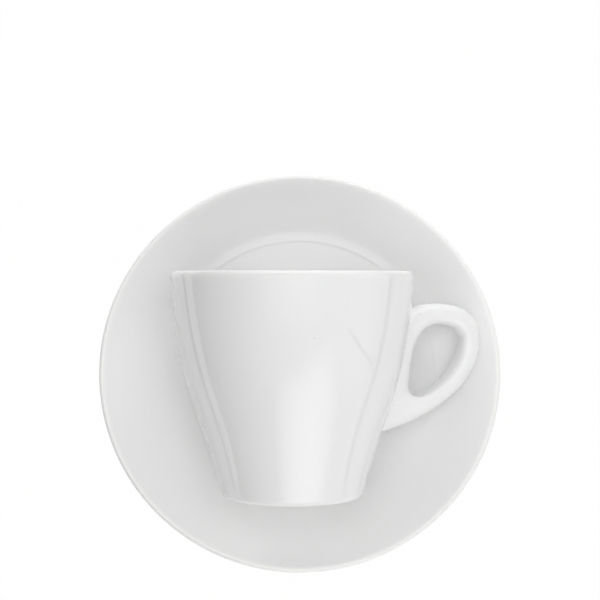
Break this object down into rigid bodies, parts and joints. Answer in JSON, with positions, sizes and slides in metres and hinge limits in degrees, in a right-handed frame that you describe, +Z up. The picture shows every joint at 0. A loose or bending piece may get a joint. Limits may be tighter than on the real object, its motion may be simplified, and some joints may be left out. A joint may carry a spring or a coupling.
{
  "type": "coffee cup with saucer",
  "caption": "White glazed china coffee cup with a tapered wall and a looped ear, lying on its side on a dished saucer with a seat for the cup's foot.",
  "frame": {"origin": "centre of the saucer's foot ring, on the surface that it stands on", "axes": "+Z up out of the dish, +Y the way the lying cup's mouth points, +X the way its ear points"},
  "size_m": [0.146, 0.146, 0.0907],
  "materials": {
    "saucer_glaze": "clear gloss glaze on white china, bare at the foot ring",
    "cup_glaze": "clear gloss glaze on white china, bare at the foot ring",
    "handle_glaze": "clear gloss glaze on white china"
  },
  "bodies": {
    "saucer": {"saucer": "saucer_glaze"},
    "cup": {"cup_body": "cup_glaze", "cup_handle": "handle_glaze"}
  },
  "joints": [
    {"name": "cup_lift", "type": "slide", "parent": "saucer", "child": "cup", "axis": [0, 0, 1], "range_m": [0, 0.09]}
  ]
}
